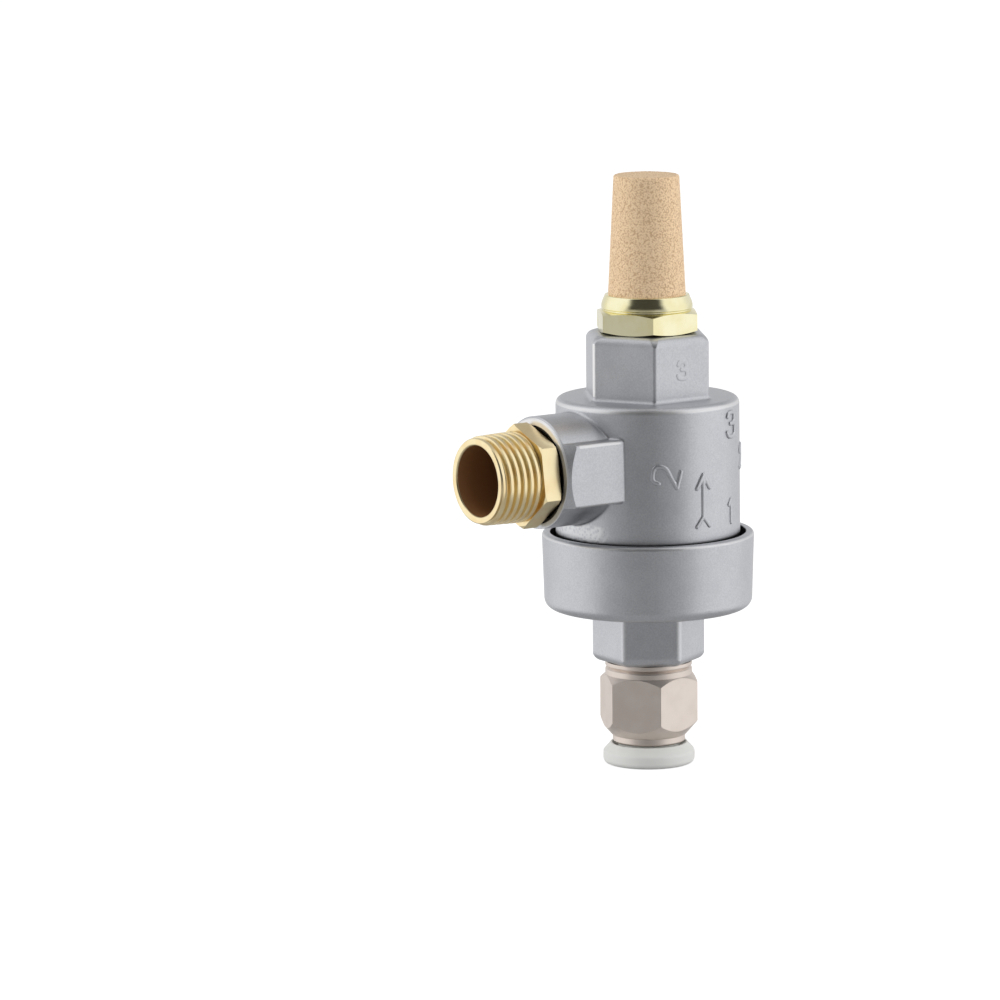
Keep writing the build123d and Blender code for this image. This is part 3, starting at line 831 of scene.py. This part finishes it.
softBoxes = {                      # azimuths from the camera's
    "leftBox": {"azimuth": -80, "elevation": 0, "distance": 1.1, "size": (0.5, 1.0), "power": 10},
    "rightBox": {"azimuth": 82, "elevation": 0, "distance": 1.1, "size": (0.6, 1.0), "power": 10},
    "topBox": {"azimuth": 20, "elevation": 70, "distance": 1.2, "size": (0.6, 0.6), "power": 1.2},
}
ground = {
    "radius": 6,
    "segments": 96,
    "bounce": colour(0.5, 0.5, 0.505),     # what it scatters
    "glow": 0.75,                  # what it adds to that for the camera
}


# Direction from the target, with the azimuth from the front
def outwards(azimuth, elevation):
    around, up = math.radians(azimuth), math.radians(elevation)
    return Vector((math.sin(around) * math.cos(up), -math.cos(around) * math.cos(up), math.sin(up)))


def makeCamera():
    data = bpy.data.cameras.new("camera")
    data.lens = studio["focal"]
    data.sensor_width = studio["sensor"]
    data.shift_x, data.shift_y = studio["shift"]
    data.clip_start, data.clip_end = studio["clip"]
    camera = bpy.data.objects.new("camera", data)
    bpy.context.scene.collection.objects.link(camera)
    back = outwards(studio["azimuth"], studio["elevation"])
    camera.location = Vector(studio["target"]) + back * studio["distance"]
    camera.rotation_mode = "QUATERNION"
    roll = Quaternion((0, 0, 1), math.radians(studio["roll"]))
    camera.rotation_quaternion = (-back).to_track_quat("-Z", "Y") @ roll
    bpy.context.scene.camera = camera


def makeWorld():
    look = surround
    world = bpy.data.worlds.new("studio")
    bpy.context.scene.world = world
    tree = Tree(world)
    ray = tree.add("ShaderNodeTexCoord", out="Generated")
    level = tree.add("ShaderNodeVectorMath", {"operation": "MULTIPLY"}, {0: ray, 1: (1, 1, 0)}, "Vector")
    level = tree.add("ShaderNodeVectorMath", {"operation": "NORMALIZE"}, {0: level}, "Vector")
    front = outwards(look["azimuth"], 0)
    facing = tree.add("ShaderNodeVectorMath", {"operation": "DOT_PRODUCT"}, {0: level, 1: front}, "Value")
    height = tree.add("ShaderNodeSeparateXYZ", {}, {"Vector": ray}, "Z")
    high = tree.step(height, *look["horizon"])
    frontHigh = high * tree.step(facing, *look["frontHighFrom"])
    frontLow = (1 - high) * tree.step(facing, *look["frontLowFrom"])
    middle = tree.step(facing, *look["middleFrom"])
    frontLowLevel = look["frontLow"] - middle * (look["frontLow"] - look["middleLow"])
    back = tree.step(facing, *look["backFrom"])
    steep = tree.step(height, *look["steepFrom"])
    backLevel = look["backLow"] - steep * (look["backLow"] - look["backHigh"])
    shown = (1 - frontHigh - frontLow - back) * look["side"]
    shown = shown + frontHigh * look["frontHigh"] + frontLow * frontLowLevel + back * backLevel
    shown = shown + tree.step(height, *look["belowFrom"]) * (look["below"] - shown)
    camera = tree.add("ShaderNodeLightPath", out="Is Camera Ray")
    glossy = tree.add("ShaderNodeLightPath", out="Is Glossy Ray")
    clear = tree.add("ShaderNodeLightPath", out="Is Transmission Ray")
    seen = camera + clear
    strength = seen + (1 - seen) * (glossy * shown + (1 - glossy) * studio["ambient"])
    background = tree.add("ShaderNodeBackground", {}, {"Color": colour(1, 1, 1), "Strength": strength})
    tree.add("ShaderNodeOutputWorld", {}, {"Surface": background})
    world.cycles.sampling_method = "NONE"


# A lamp for what scatters light. Metal sees the surround in its place.
def softBox(name, azimuth, elevation, distance, size, power):
    data = bpy.data.lights.new(name, "AREA")
    data.shape = "RECTANGLE"
    data.size, data.size_y = size
    data.energy = power
    lamp = bpy.data.objects.new(name, data)
    bpy.context.scene.collection.objects.link(lamp)
    back = outwards(studio["azimuth"] + azimuth, elevation)
    lamp.location = Vector(studio["target"]) + back * distance
    lamp.rotation_euler = (-back).to_track_quat("-Z", "Y").to_euler()
    lamp.visible_glossy = False


# White to the camera, with the object's shadow, and clear to metal, which reflects the surround instead
def makeFloor():
    bm = bmesh.new()
    bmesh.ops.create_circle(bm, cap_ends=True, segments=ground["segments"], radius=ground["radius"])
    mesh = bpy.data.meshes.new("floor")
    bm.to_mesh(mesh)
    bm.free()
    floor = bpy.data.objects.new("floor", mesh)
    bpy.context.scene.collection.objects.link(floor)
    material = bpy.data.materials.new("paleFloor")
    tree = Tree(material)
    camera = tree.add("ShaderNodeLightPath", out="Is Camera Ray")
    glossy = tree.add("ShaderNodeLightPath", out="Is Glossy Ray")
    bounce = tree.add("ShaderNodeBsdfDiffuse", {}, {"Color": ground["bounce"]})
    glow = tree.add("ShaderNodeEmission", {}, {"Color": colour(1, 1, 1), "Strength": ground["glow"]})
    shown = tree.add("ShaderNodeAddShader", {}, {0: bounce, 1: glow})
    surface = tree.add("ShaderNodeMixShader", {}, {0: camera, 1: bounce, 2: shown})
    clear = tree.add("ShaderNodeBsdfTransparent")
    surface = tree.add("ShaderNodeMixShader", {}, {0: glossy, 1: surface, 2: clear})
    tree.add("ShaderNodeOutputMaterial", {}, {"Surface": surface})
    mesh.materials.append(material)


makeCamera()
makeWorld()
makeFloor()
for name, look in softBoxes.items():
    softBox(name, **look)
bpy.context.scene.view_settings.view_transform = "Standard"
print("studio made")
